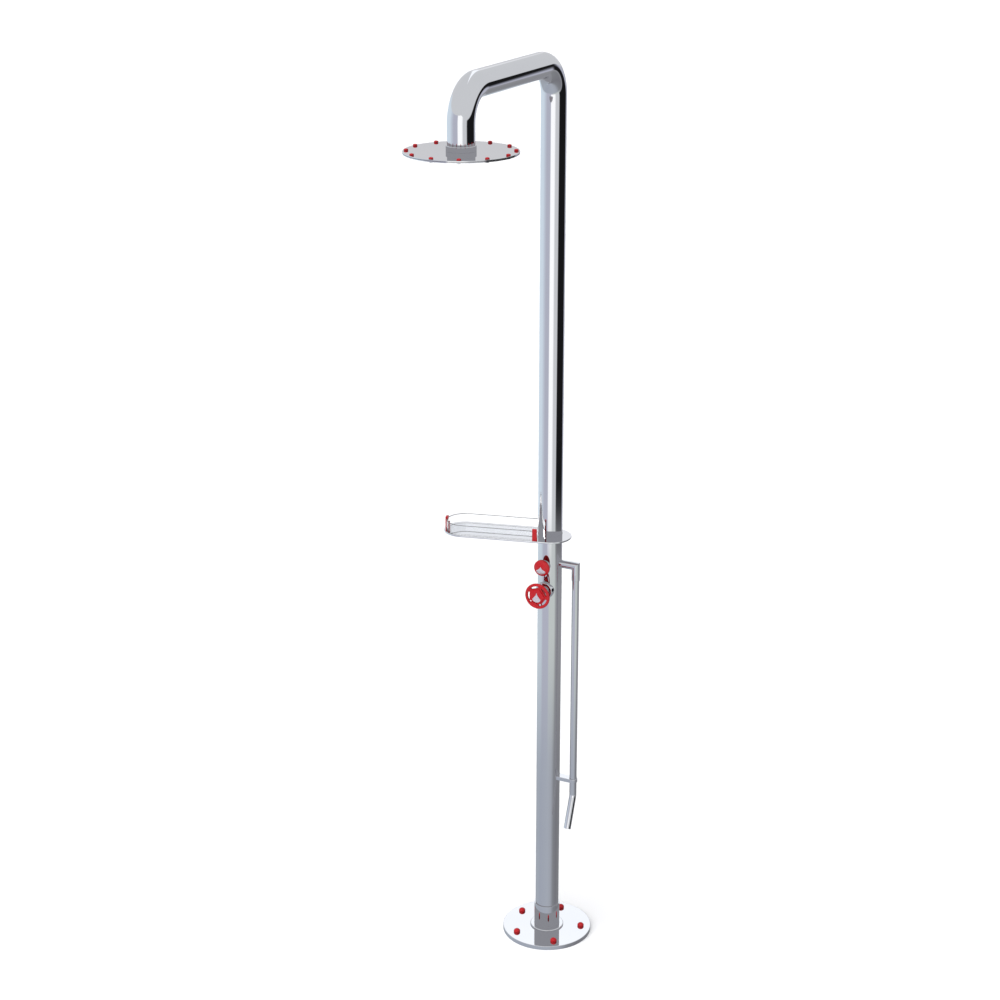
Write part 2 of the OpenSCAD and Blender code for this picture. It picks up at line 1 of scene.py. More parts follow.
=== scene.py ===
"""The looks of a free-standing polished steel shower column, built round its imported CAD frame.

Every visible CAD node is replaced by a finer mesh with softened edges; the sealed inner pieces keep
their CAD meshes. All lengths are in metres in the CAD's own frame: the origin is on the floor at the
column's axis, +Z is up, the arm and both valves point along -Y, and the foot-wash pipe is on the +X side.
"""
import json
from math import asin, atan2, cos, pi, radians, sin, sqrt, tan

import bmesh
import bpy
from mathutils import Matrix, Vector
from mathutils.geometry import tessellate_polygon


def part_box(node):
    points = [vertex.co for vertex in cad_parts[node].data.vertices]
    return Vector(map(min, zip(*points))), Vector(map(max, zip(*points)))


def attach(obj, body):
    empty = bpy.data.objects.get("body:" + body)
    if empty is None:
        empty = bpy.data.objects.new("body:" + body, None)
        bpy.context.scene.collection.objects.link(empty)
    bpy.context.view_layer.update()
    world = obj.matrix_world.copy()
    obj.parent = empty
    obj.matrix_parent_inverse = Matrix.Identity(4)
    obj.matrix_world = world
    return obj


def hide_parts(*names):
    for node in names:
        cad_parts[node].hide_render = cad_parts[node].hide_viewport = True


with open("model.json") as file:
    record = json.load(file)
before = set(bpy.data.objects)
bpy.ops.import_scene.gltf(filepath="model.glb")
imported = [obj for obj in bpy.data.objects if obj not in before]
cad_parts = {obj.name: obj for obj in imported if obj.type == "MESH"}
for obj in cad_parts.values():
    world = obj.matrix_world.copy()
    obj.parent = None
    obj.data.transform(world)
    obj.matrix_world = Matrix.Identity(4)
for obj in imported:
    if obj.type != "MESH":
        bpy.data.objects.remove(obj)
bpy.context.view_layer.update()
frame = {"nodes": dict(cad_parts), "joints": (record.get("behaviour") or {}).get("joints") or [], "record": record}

MM = 0.001
SLIP = 0.05 * MM         # radial play between pieces that fit in one another

# ---------------------------------------------------------------- sizes that the frame gives


def low(node):
    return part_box(node)[0]


def high(node):
    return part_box(node)[1]


def reach_of(node):
    """Half of a round node's width across X."""
    return (high(node).x - low(node).x) / 2


TUBE_R = reach_of("column_tube")
TUBE_WALL = 2 * MM
BEND_Z = high("column_tube").z
ARM_Z = high("column_elbow").z - TUBE_R
BEND_R = ARM_Z - BEND_Z
ARM_REACH = -(low("drop_tube").y + high("drop_tube").y) / 2
HEAD_Z = low("drop_tube").z
FLANGE_T = high("base_flange").z
mounts = {m["name"]: m for m in frame["record"]["mounts"]}
joint_z = {j["name"]: j["pos_m"][2] for j in frame["joints"]}
MAIN_Z = joint_z["main_valve_turn"]
FOOT_Z = joint_z["foot_valve_turn"]
FOOT_X = (low("foot_pipe").x + high("foot_pipe").x) / 2
FOOT_R = reach_of("foot_pipe")

ANCHORS = mounts["floor_bolts"]["dims"]["count"]
ANCHOR_PCD = mounts["floor_bolts"]["dims"]["pcd_mm"] * MM
ANCHOR_HOLE_R = mounts["floor_bolts"]["dims"]["hole_r_mm"] * MM
ANCHOR_TURN = radians(90)
HEAD_SCREWS = 12
HEAD_PCD = 234 * MM
HEAD_TURN = radians(24.7)
HEAD_PORT_R = 7 * MM
HEAD_SCREW_R = 1.95 * MM
HEAD_SCREW_HOLE_R = 2.25 * MM
GASKET_W = 18.5 * MM
NOZZLE_RINGS = 4
NOZZLE_STEP = 23.5 * MM  # from one ring of nozzles to the next
NOZZLE_R = 2 * MM

INLET_HOLE_R = 17 * MM
MAIN_HOLE_R = 13.8 * MM  # the column's holes for both valves and for the foot pipe's stub
FOOT_HOLE_R = 8.8 * MM
STUB_HOLE_R = 8.3 * MM
MAIN_STEM_R = 5 * MM
FOOT_STEM_R = 4 * MM
MAIN_BONNET_R = 13 * MM
FOOT_BONNET_R = 8.5 * MM

# ---------------------------------------------------------------- placing

UPRIGHT = Matrix.Identity(4)


def at(x, y, z):
    return Matrix.Translation((x, y, z))


def front_at(z):
    """Local +Z points along -Y, from the column's axis at a height."""
    return at(0, 0, z) @ Matrix.Rotation(radians(90), 4, "X")


def spin(angle):
    return Matrix.Rotation(angle, 4, "Z")


def ring_of(count, radius, turn):
    return [spin(turn + i * 2 * pi / count) @ at(radius, 0, 0) for i in range(count)]


# ---------------------------------------------------------------- outlines


def circle(radius, steps=48, centre=(0, 0)):
    """A round outline, anticlockwise."""
    turns = [2 * pi * i / steps for i in range(steps)]
    return [(centre[0] + radius * cos(a), centre[1] + radius * sin(a)) for a in turns]


def hole(radius, steps=48, centre=(0, 0)):
    """A round outline, clockwise, as plate() takes its holes."""
    return circle(radius, steps, centre)[::-1]


def arc(radius, start, end, steps, centre=(0, 0)):
    turns = [start + (end - start) * i / steps for i in range(steps + 1)]
    return [(centre[0] + radius * cos(a), centre[1] + radius * sin(a)) for a in turns]


def rounded(points, radius, steps=5):
    """A closed outline with its corners rounded, by one radius or by one for each point."""
    radii = radius if isinstance(radius, (list, tuple)) else [radius] * len(points)
    made = []
    for i, r in enumerate(radii):
        corner = Vector(points[i])
        back = Vector(points[i - 1]) - corner
        ahead = Vector(points[(i + 1) % len(points)]) - corner
        half = back.angle(ahead) / 2
        if r <= 0 or half > radians(89):
            made.append(corner)
            continue
        run = min(r / tan(half), 0.49 * back.length, 0.49 * ahead.length)
        r = run * tan(half)
        middle = corner + (back.normalized() + ahead.normalized()).normalized() * (r / sin(half))
        first = corner + back.normalized() * run - middle
        last = corner + ahead.normalized() * run - middle
        start = atan2(first.y, first.x)
        sweep = (atan2(last.y, last.x) - start + pi) % (2 * pi) - pi
        made += [Vector(p) for p in arc(r, start, start + sweep, steps, middle)]
    return [tuple(p) for p in made]


def polygon(sides, flat):
    """A regular polygon by the distance from its middle to its flats."""
    return circle(flat / cos(pi / sides), sides)


def drop_outline(wide, up, down, tip, steps=24):
    """A drop, point up, widest on the x axis: a round tip, hollow sides and half an ellipse below."""
    side = [(tip + (wide - tip) * (i / steps) ** 1.6, (up - tip) * (1 - i / steps)) for i in range(steps + 1)]
    belly = [(wide * cos(a), down * sin(a)) for a in (pi + pi * i / steps for i in range(1, steps))]
    crown = arc(tip, 0, pi, 6, (0, up - tip))
    return crown + [(-x, y) for x, y in side[1:]] + belly + side[:0:-1]


def dome(radius, top, ball_r, steps=16):
    """A round top's outline, from its edge to its middle, as part of a ball."""
    edge = asin(radius / ball_r)
    turns = [edge * (1 - i / steps) for i in range(steps + 1)]
    return [(ball_r * sin(a), top - ball_r * (1 - cos(a))) for a in turns]


# ---------------------------------------------------------------- mesh building


class Shell:
    """Vertices and faces of one piece, gathered from one or more closed shapes."""

    def __init__(self):
        self.points = []
        self.faces = []

    def add(self, points, faces, places=(UPRIGHT,)):
        for place in places:
            first = len(self.points)
            self.points += [place @ Vector(p) for p in points]
            self.faces += [[first + i for i in f] for f in faces]
        return self

    def piece(self, name, body, nodes, slot, sharp=50):
        """The finished Blender object, riding on its body and standing for its CAD nodes."""
        mesh = bpy.data.meshes.new(name)
        mesh.from_pydata(self.points, [], self.faces)
        work = bmesh.new()
        work.from_mesh(mesh)
        bmesh.ops.recalc_face_normals(work, faces=work.faces)
        work.to_mesh(mesh)
        work.free()
        mesh.shade_smooth()
        mesh.set_sharp_from_angle(angle=radians(sharp))
        made = bpy.data.objects.new(name, mesh)
        bpy.context.scene.collection.objects.link(made)
        even = made.modifiers.new("even_normals", "WEIGHTED_NORMAL")
        even.keep_sharp = True
        mesh.materials.append(MATERIALS[slot])
        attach(made, body)
        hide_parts(*nodes)
        return made


def lathe(outline, steps=96):
    """Turns a closed (radius, height) outline round Z; a point on the axis becomes one vertex."""
    points, rings = [], []
    for r, h in outline:
        if r < 1e-7:
            rings.append([len(points)] * steps)
            points.append((0, 0, h))
        else:
            rings.append(list(range(len(points), len(points) + steps)))
            points += [(r * cos(a), r * sin(a), h) for a in (2 * pi * i / steps for i in range(steps))]
    faces = []
    for i, upper in enumerate(rings):
        lower = rings[i - 1]
        for k in range(steps):
            n = (k + 1) % steps
            corners = [lower[k], lower[n], upper[n], upper[k]]
            corners = [c for j, c in enumerate(corners) if c != corners[j - 1]]
            if len(corners) > 2:
                faces.append(corners)
    return points, faces


def edge_profile(base, top, soft_low, soft_high, cuts=0, steps=4):
    """(inset, height) stations up a plate's edge, with its lower and upper corners rounded."""
    made = []
    for i in range(steps + 1 if soft_low else 0):
        a = pi / 2 * i / steps
        made.append((soft_low * (1 - sin(a)), base + soft_low * (1 - cos(a))))
    made = made or [(0, base)]
    for i in range(1, cuts + 1):
        made.append((0, base + soft_low + (top - soft_high - base - soft_low) * i / (cuts + 1)))
    for i in range(steps + 1 if soft_high else 0):
        a = pi / 2 * i / steps
        made.append((soft_high * (1 - cos(a)), top - soft_high * (1 - sin(a))))
    return made if soft_high else made + [(0, top)]


def inset(outline, distance):
    """The outline moved to its left, into the material, with mitred corners."""
    made = []
    for i, p in enumerate(outline):
        here = Vector(p)
        back = (here - Vector(outline[i - 1])).normalized()
        ahead = (Vector(outline[(i + 1) % len(outline)]) - here).normalized()
        left_back = Vector((-back.y, back.x))
        left_ahead = Vector((-ahead.y, ahead.x))
        made.append(here + (left_back + left_ahead) * (distance / (1 + left_back.dot(left_ahead))))
    return made


def plate(outlines, base, top, soft_low=0.0, soft_high=0.0, cuts=0, steps=4):
    """An extruded plate: an anticlockwise outline, then clockwise holes, with rounded edges."""
    stations = edge_profile(base, top, soft_low, soft_high, cuts, steps)
    points, faces, floors, ceilings = [], [], [], []
    for outline in outlines:
        rings = []
        for inward, height in stations:
            rings.append(list(range(len(points), len(points) + len(outline))))
            points += [(p.x, p.y, height) for p in inset(outline, inward)]
        for lower, upper in zip(rings, rings[1:]):
            for k in range(len(outline)):
                n = (k + 1) % len(outline)
                faces.append([lower[k], lower[n], upper[n], upper[k]])
        floors.append(rings[0])
        ceilings.append(rings[-1])
    for loops in (floors, ceilings):
        flat = [i for loop in loops for i in loop]
        triangles = tessellate_polygon([[Vector(points[i]) for i in loop] for loop in loops])
        faces += [[flat[i] for i in triangle] for triangle in triangles]
    return points, faces


def station(centre, across, up, outer, inner):
    """One ring of a pipe: its middle, the two directions it lies in, and its two radii."""
    return Vector(centre), Vector(across), Vector(up), outer, inner


def pipe(stations, steps=96):
    """A pipe with a bore along its stations."""
    points, rings, faces = [], [], []
    turns = [2 * pi * i / steps for i in range(steps)]
    for centre, across, up, outer, inner in stations:
        for radius in (outer, inner):
            rings.append(list(range(len(points), len(points) + steps)))
            points += [centre + across * radius * cos(a) + up * radius * sin(a) for a in turns]
    outside = rings[0::2]
    inside = rings[1::2]
    walls = list(zip(outside, outside[1:])) + list(zip(inside[1:], inside))
    walls += [(inside[0], outside[0]), (outside[-1], inside[-1])]
    for lower, upper in walls:
        for k in range(steps):
            n = (k + 1) % steps
            faces.append([lower[k], lower[n], upper[n], upper[k]])
    return points, faces


# ---------------------------------------------------------------- materials


class Tree:
    """Short ways to add and join the nodes of one node tree."""

    def __init__(self, tree):
        self.tree = tree

    def new(self, kind):
        return self.tree.nodes.new(kind)

    def link(self, source, target):
        self.tree.links.new(source, target)

    def maths(self, operation, *values):
        made = self.new("ShaderNodeMath")
        made.operation = operation
        for socket, value in zip(made.inputs, values):
            if isinstance(value, (int, float)):
                socket.default_value = value
            else:
                self.link(value, socket)
        return made.outputs[0]

    def part(self, vector, axis):
        """One axis of a vector source."""
        made = self.new("ShaderNodeSeparateXYZ")
        self.link(vector, made.inputs["Vector"])
        return made.outputs[axis]

    def blend(self, factor, first, last):
        """A colour between two other sources, by a factor."""
        made = self.new("ShaderNodeMix")
        made.data_type = "RGBA"
        for name, source in (("Factor", factor), ("A", first), ("B", last)):
            self.link(source, made.inputs[name])
        return made.outputs["Result"]


class Nodes(Tree):
    """One material's node tree."""

    def __init__(self, name):
        self.material = bpy.data.materials.new(name)
        self.material.use_nodes = True
        super().__init__(self.material.node_tree)
        self.shader = self.tree.nodes["Principled BSDF"]
        self.coordinates = self.new("ShaderNodeTexCoord").outputs
        self.place = self.coordinates["Object"]

    def set(self, **values):
        """Sets the shader's own sockets; an underscore in a name stands for a space."""
        for name, value in values.items():
            self.shader.inputs[name.replace("_", " ")].default_value = value
        return self

    def noise(self, scale, detail=3.0, roughness=0.5, stretch=(1, 1, 1)):
        """A 3-D noise over the object, stretched along its axes."""
        mapping = self.new("ShaderNodeMapping")
        mapping.inputs["Scale"].default_value = stretch
        self.link(self.place, mapping.inputs["Vector"])
        made = self.new("ShaderNodeTexNoise")
        made.inputs["Scale"].default_value = scale
        made.inputs["Detail"].default_value = detail
        made.inputs["Roughness"].default_value = roughness
        self.link(mapping.outputs["Vector"], made.inputs["Vector"])
        return made.outputs["Fac"]

    def range(self, source, first, last, start=0.3, end=0.7):
        """Maps a number from start..end to first..last."""
        made = self.new("ShaderNodeMapRange")
        for socket, value in zip(("From Min", "From Max", "To Min", "To Max"), (start, end, first, last)):
            made.inputs[socket].default_value = value
        self.link(source, made.inputs["Value"])
        return made.outputs["Result"]

    def mix(self, source, first, last):
        """A colour between two, by a factor."""
        made = self.new("ShaderNodeMix")
        made.data_type = "RGBA"
        made.inputs["A"].default_value = (*first, 1)
        made.inputs["B"].default_value = (*last, 1)
        self.link(source, made.inputs["Factor"])
        return made.outputs["Result"]

    def colour(self, source):
        self.link(source, self.shader.inputs["Base Color"])
        return self

    def rough(self, source):
        self.link(source, self.shader.inputs["Roughness"])
        return self

    def bump(self, *layers):
        """Bump layers as (height source, strength, distance), one on top of the other."""
        normal = None
        for height, strength, distance in layers:
            made = self.new("ShaderNodeBump")
            made.inputs["Strength"].default_value = strength
            made.inputs["Distance"].default_value = distance
            self.link(height, made.inputs["Height"])
            if normal:
                self.link(normal, made.inputs["Normal"])
            normal = made.outputs["Normal"]
        self.link(normal, self.shader.inputs["Normal"])
        return self


def polished_steel():
    """Mirror-polished stainless steel: faint haze, softer patches and a slight tint."""
    n = Nodes("polished_steel").set(Metallic=1.0)
    haze = n.noise(9, detail=6, roughness=0.6)
    n.colour(n.mix(n.noise(5, detail=2), (0.80, 0.81, 0.84), (0.86, 0.865, 0.88)))
    n.rough(n.range(haze, 0.015, 0.055))
    lines = n.noise(60, detail=4, stretch=(22, 22, 1))
    return n.bump((lines, 0.06, 0.02 * MM)).material


def plain_steel():
    """Machined steel with turning marks."""
    n = Nodes("plain_steel").set(Metallic=1.0)
    n.colour(n.mix(n.noise(160), (0.50, 0.50, 0.51), (0.66, 0.66, 0.67)))
    n.rough(n.range(n.noise(420, stretch=(1, 1, 6)), 0.22, 0.38))
    return n.bump((n.noise(900, stretch=(1, 1, 8)), 0.15, 0.05 * MM)).material


def red_plastic():
    """Glossy moulded red plastic: a slight orange peel, cloudier patches and fine scuffs."""
    n = Nodes("red_plastic").set(IOR=1.5, Specular_IOR_Level=0.3, Coat_Weight=0.08, Coat_Roughness=0.08)
    n.colour(n.mix(n.noise(90, detail=4), (0.36, 0.006, 0.009), (0.42, 0.010, 0.015)))
    n.rough(n.range(n.noise(240, detail=6, roughness=0.7), 0.18, 0.34))
    peel = n.noise(500, detail=2)
    scuffs = n.noise(1500, detail=3, stretch=(1, 0.2, 1))
    return n.bump((peel, 0.10, 0.06 * MM), (scuffs, 0.05, 0.03 * MM)).material


def silver_mark():
    """A satin metal inlay, brushed across."""
    n = Nodes("silver_mark").set(Metallic=0.6)
    n.colour(n.mix(n.noise(200), (0.62, 0.58, 0.62), (0.72, 0.68, 0.72)))
    grain = n.noise(700, detail=4, stretch=(0.1, 1, 1))
    n.rough(n.range(grain, 0.20, 0.36))
    return n.bump((grain, 0.15, 0.04 * MM)).material


def clear_plastic():
    """Clear acrylic: faintly scratched faces, with painted shade: its top edge and a thin strip along the top are
    painted dark grey and less clear, for the dark look of the clear edge.
    """
    n = Nodes("clear_plastic").set(IOR=1.49)
    # painted shade: the band's top strip, from these heights up, is painted dark grey
    shade_strip_low = high("shelf_band").z - 1.4 * MM
    shade_strip_high = high("shelf_band").z - 1.2 * MM
    line = n.range(n.part(n.place, "Z"), 0, 1, shade_strip_low, shade_strip_high)
    # painted shade: faces that point up, which form the band's top edge, are painted dark grey
    top_face_shade = n.range(n.part(n.coordinates["Normal"], "Z"), 0, 1, 0.4, 0.8)
    edge = n.maths("MAXIMUM", line, top_face_shade)
    # the painted shade also makes the top edge and top strip less clear
    n.link(n.range(edge, 1.0, 0.25, 0, 1), n.shader.inputs["Transmission Weight"])
    face = n.mix(n.noise(40), (0.975, 0.985, 0.99), (0.99, 0.995, 1.0))
    # painted shade: dark grey on the band's top edge and top strip
    n.colour(n.blend(edge, face, n.mix(n.noise(200), (0.16, 0.17, 0.18), (0.26, 0.27, 0.28))))
    n.rough(n.range(n.noise(300, detail=5), 0.0, 0.05))
    return n.bump((n.noise(700, stretch=(0.2, 0.2, 2)), 0.05, 0.02 * MM)).material


def brass():
    n = Nodes("brass").set(Metallic=1.0)
    n.colour(n.mix(n.noise(60), (0.66, 0.46, 0.18), (0.78, 0.58, 0.28)))
    n.rough(n.range(n.noise(300), 0.22, 0.40))
    return n.bump((n.noise(700, stretch=(1, 1, 5)), 0.15, 0.05 * MM)).material


def copper_pipe():
    n = Nodes("copper_pipe").set(Metallic=1.0)
    n.colour(n.mix(n.noise(30, detail=5), (0.62, 0.31, 0.18), (0.80, 0.46, 0.31)))
    n.rough(n.range(n.noise(120, detail=5), 0.20, 0.42))
    return n.bump((n.noise(600, stretch=(5, 5, 0.3)), 0.12, 0.04 * MM)).material


def cartridge_plastic():
    n = Nodes("cartridge_plastic").set(IOR=1.5)
    n.colour(n.mix(n.noise(90), (0.78, 0.78, 0.74), (0.86, 0.86, 0.83)))
    n.rough(n.range(n.noise(300), 0.35, 0.55))
    return n.bump((n.noise(900), 0.2, 0.05 * MM)).material


def seal_rubber():
    """Dark silicone rubber, a little dusty."""
    n = Nodes("seal_rubber").set(IOR=1.45)
    n.colour(n.mix(n.noise(200, detail=5), (0.035, 0.035, 0.037), (0.075, 0.075, 0.078)))
    n.rough(n.range(n.noise(400, detail=4), 0.50, 0.75))
    return n.bump((n.noise(1600), 0.25, 0.05 * MM)).material


MATERIALS = {make.__name__: make() for make in (
    polished_steel, plain_steel, red_plastic, silver_mark, clear_plastic, brass, copper_pipe,
    cartridge_plastic, seal_rubber)}

# ---------------------------------------------------------------- column, arm and drop pipe


def fixed(name, node, slot, mesh, places=(UPRIGHT,), sharp=50):
    """A piece on the stand that stands for one CAD node."""
    return Shell().add(*mesh, places).piece(name, "stand", [node], slot, sharp)


def piped(name, node, stations):
    return fixed(name, node, "polished_steel", pipe(stations))


def bend_stations(middle_y, middle_z, radius, start, sweep, outer, inner, x=0.0, steps=40):
    """Rings round a bend in the YZ plane; its angles run from +Y towards +Z."""
    made = []
    for i in range(steps + 1):
        a = start + sweep * i / steps
        outward = Vector((0, cos(a), sin(a)))
        middle = Vector((x, middle_y, middle_z)) + outward * radius
        made.append(station(middle, (1, 0, 0), outward, outer, inner))
    return made


def true_normals(made, radial):
    """Gives a polished wall its exact normals: radial(point) is the direction away from the pipe's axis."""
    mesh = made.data
    normals = []
    for face in mesh.polygons:
        for i in face.vertices:
            exact = radial(mesh.vertices[i].co)
            facing = face.normal.dot(exact)
            normals.append(exact.copy() if facing > 0.9 else -exact if facing < -0.9 else face.normal.copy())
    mesh.normals_split_custom_set(normals)
    made.modifiers.remove(made.modifiers["even_normals"])


def tube_rings(first, last, across, up):
    inner = TUBE_R - TUBE_WALL
    return [station(first, across, up, TUBE_R, inner), station(last, across, up, TUBE_R, inner)]


def column():
    """The upright tube, with its holes for the two valves and the foot pipe's stub."""
    made = piped("column_tube_polished", "column_tube",
                 tube_rings((0, 0, FLANGE_T), (0, 0, BEND_Z), (1, 0, 0), (0, 1, 0)))
    cutters = [(front_at(MAIN_Z), MAIN_HOLE_R), (front_at(FOOT_Z), FOOT_HOLE_R),
               (at(0, 0, FOOT_Z) @ Matrix.Rotation(radians(90), 4, "Y"), STUB_HOLE_R)]
    for place, radius in cutters:
        points, faces = plate([circle(radius)], 0, TUBE_R + 10 * MM)
        mesh = bpy.data.meshes.new("cutter")
        mesh.from_pydata([place @ Vector(p) for p in points], [], faces)
        cutter = bpy.data.objects.new("cutter", mesh)
        bpy.context.scene.collection.objects.link(cutter)
        boolean = made.modifiers.new("hole", "BOOLEAN")
        boolean.operation = "DIFFERENCE"
        boolean.solver = "EXACT"
        boolean.object = cutter
        evaluated = made.evaluated_get(bpy.context.evaluated_depsgraph_get())
        made.data = bpy.data.meshes.new_from_object(evaluated)
        made.modifiers.remove(boolean)
        bpy.data.objects.remove(cutter)
    true_normals(made, lambda p: Vector((p.x, p.y, 0)).normalized())


def bend_radial(middle_y, middle_z, radius):
    """The direction away from a bent pipe's own axis at a point on it."""
    middle = Vector((0, middle_y, middle_z))

    def radial(p):
        flat = Vector((0, p.y, p.z)) - middle
        return (p - middle - flat.normalized() * radius).normalized()
    return radial


def arm():
    inner = TUBE_R - TUBE_WALL
    knee = piped("column_elbow_polished", "column_elbow",
                 bend_stations(-BEND_R, BEND_Z, BEND_R, 0, pi / 2, TUBE_R, inner))
    true_normals(knee, bend_radial(-BEND_R, BEND_Z, BEND_R))
    bar = piped("arm_tube_polished", "arm_tube",
                tube_rings((0, -BEND_R, ARM_Z), (0, BEND_R - ARM_REACH, ARM_Z), (1, 0, 0), (0, 0, 1)))
    true_normals(bar, lambda p: Vector((p.x, 0, p.z - ARM_Z)).normalized())
    wrist = piped("head_elbow_polished", "head_elbow",
                  bend_stations(BEND_R - ARM_REACH, BEND_Z, BEND_R, pi / 2, pi / 2, TUBE_R, inner))
    true_normals(wrist, bend_radial(BEND_R - ARM_REACH, BEND_Z, BEND_R))
    drop = piped("drop_tube_polished", "drop_tube",
                 tube_rings((0, -ARM_REACH, HEAD_Z), (0, -ARM_REACH, BEND_Z), (1, 0, 0), (0, 1, 0)))
    true_normals(drop, lambda p: Vector((p.x, p.y + ARM_REACH, 0)).normalized())


# ---------------------------------------------------------------- base


def tube_outline(outer, inner, base, top, soft):
    """A tube's (radius, height) section; one rounding for each corner, from inner low, anticlockwise."""
    return rounded([(inner, base), (outer, base), (outer, top), (inner, top)], soft, 4)


def base():
    flange_r = reach_of("base_flange")
    bolt_holes = [[(p.x, p.y) for p in (place @ Vector((x, y, 0)) for x, y in hole(ANCHOR_HOLE_R, 40))]
                  for place in ring_of(ANCHORS, ANCHOR_PCD / 2, ANCHOR_TURN)]
    outlines = [circle(flange_r, 192), hole(INLET_HOLE_R), *bolt_holes]
    fixed("base_flange_turned", "base_flange", "polished_steel",
          plate(outlines, 0, FLANGE_T, 0.3 * MM, 1 * MM))
    ring_low, ring_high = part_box("base_ring")
    inner = reach_of("base_socket") + SLIP
    outline = tube_outline(reach_of("base_ring"), inner, ring_low.z, ring_high.z,
                           [0, 0.2 * MM, 3 * MM, 0.3 * MM])
    fixed("base_ring_weld", "base_ring", "polished_steel", lathe(outline, 128))
    socket_low, socket_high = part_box("base_socket")
    outline = tube_outline(reach_of("base_socket"), TUBE_R + SLIP, socket_low.z, socket_high.z,
                           [0, 0, 0.2 * MM, 0.2 * MM])
    fixed("base_socket_tube", "base_socket", "polished_steel", lathe(outline, 128))


def nut(flats, base_z, top_z, bore, soft):
    """A hexagon nut with its corners turned off and a bore."""
    outline = rounded(polygon(6, flats / 2), 0.5 * MM, 2)
    return plate([outline, hole(bore, 32)], base_z, top_z, soft, soft, steps=3)


def cap(radius, base_z, top_z, inner_r, pocket, ball_r, shoulder):
    """A moulded cap with a domed top, a rounded shoulder and a round pocket below."""
    crown = dome(radius, top_z, ball_r)
    side = rounded([(inner_r, base_z), (radius, base_z), crown[0], crown[3]],
                   [0.1 * MM, 0.2 * MM, shoulder, 0], 5)
    ceiling = base_z + pocket
    return lathe(side[:-1] + crown[3:] + [(0, ceiling), (inner_r, ceiling)], 64)


def anchors():
    places = ring_of(ANCHORS, ANCHOR_PCD / 2, ANCHOR_TURN)
    washer_low, washer_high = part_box("anchor_washers")
    washer_r = washer_high.y - ANCHOR_PCD / 2
    bore = 4.4 * MM
    outline = tube_outline(washer_r, bore, washer_low.z, washer_high.z, [0, 0.2 * MM, 0.3 * MM, 0])
    fixed("anchor_washers_stamped", "anchor_washers", "plain_steel", lathe(outline, 48), places)
    nut_low, nut_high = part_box("anchor_nuts")
    fixed("anchor_nuts_hex", "anchor_nuts", "plain_steel",
          nut(13 * MM, nut_low.z, nut_high.z, bore=3.7 * MM, soft=0.5 * MM), places)
    cap_low, cap_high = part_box("anchor_caps")
    cap_r = cap_high.y - ANCHOR_PCD / 2
    moulding = cap(cap_r, cap_low.z, cap_high.z, inner_r=7.6 * MM, pocket=4.3 * MM, ball_r=9.4 * MM,
                   shoulder=1 * MM)
    fixed("anchor_caps_moulded", "anchor_caps", "red_plastic", moulding, places)


# ---------------------------------------------------------------- shower head


def head_screw_places(z):
    return [at(0, -ARM_REACH, z) @ place for place in ring_of(HEAD_SCREWS, HEAD_PCD / 2, HEAD_TURN)]


def nozzle_places(z):
    """Where the spray nozzles are: rings of 6, 12, 18 and 24."""
    return [at(0, -ARM_REACH, z) @ place for k in range(1, NOZZLE_RINGS + 1)
            for place in ring_of(6 * k, k * NOZZLE_STEP, radians(k * 15))]


def holes_at(places, radius, steps):
    """Clockwise holes at the middles of places, in the head's own frame."""
    middles = [place.translation for place in places]
    return [hole(radius, steps, (middle.x, middle.y + ARM_REACH)) for middle in middles]


def head():
    centre = at(0, -ARM_REACH, 0)
    head_r = reach_of("head_top_plate")
    screw_holes = holes_at(head_screw_places(0), HEAD_SCREW_HOLE_R, 24)
    top_low, top_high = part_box("head_top_plate")
    outlines = [circle(head_r, 192), hole(HEAD_PORT_R, 32), *screw_holes]
    fixed("head_top_disc", "head_top_plate", "polished_steel",
          plate(outlines, top_low.z, top_high.z, 0.15 * MM, 0.5 * MM), [centre])
    gasket_low, gasket_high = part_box("head_gasket")
    gasket_r = reach_of("head_gasket")
    outlines = [circle(gasket_r, 128), hole(gasket_r - GASKET_W, 128), *screw_holes]
    fixed("head_gasket_sheet", "head_gasket", "seal_rubber",
          plate(outlines, gasket_low.z, gasket_high.z), [centre])
    face_low, face_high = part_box("head_nozzle_plate")
    outlines = [circle(head_r, 192), *screw_holes, *holes_at(nozzle_places(0), NOZZLE_R + SLIP, 20)]
    fixed("head_nozzle_disc", "head_nozzle_plate", "polished_steel",
          plate(outlines, face_low.z, face_high.z, 0.3 * MM, 0.15 * MM), [centre])
    inside = face_high.z - face_low.z
    bore, tip_r, brim_r = 0.7 * MM, 1.3 * MM, 2.8 * MM
    tip, neck, brim = -3.4 * MM, -1 * MM, inside + 0.5 * MM
    nub = rounded([(bore, tip), (tip_r, tip), (NOZZLE_R, neck), (NOZZLE_R, inside), (brim_r, inside),
                   (brim_r, brim), (bore, brim)], [0.1 * MM, 0.35 * MM, 0.5 * MM, 0, 0, 0.2 * MM, 0], 4)
    fixed("head_nozzles_rubber", "head_nozzles", "seal_rubber", lathe(nub, 24), nozzle_places(face_low.z))
    collar_low, collar_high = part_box("head_collar")
    outline = tube_outline(reach_of("head_collar"), TUBE_R + SLIP, collar_low.z, collar_high.z,
                           [0, 0.2 * MM, 1 * MM, 0.3 * MM])
    fixed("head_collar_turned", "head_collar", "polished_steel", lathe(outline, 128), [centre])


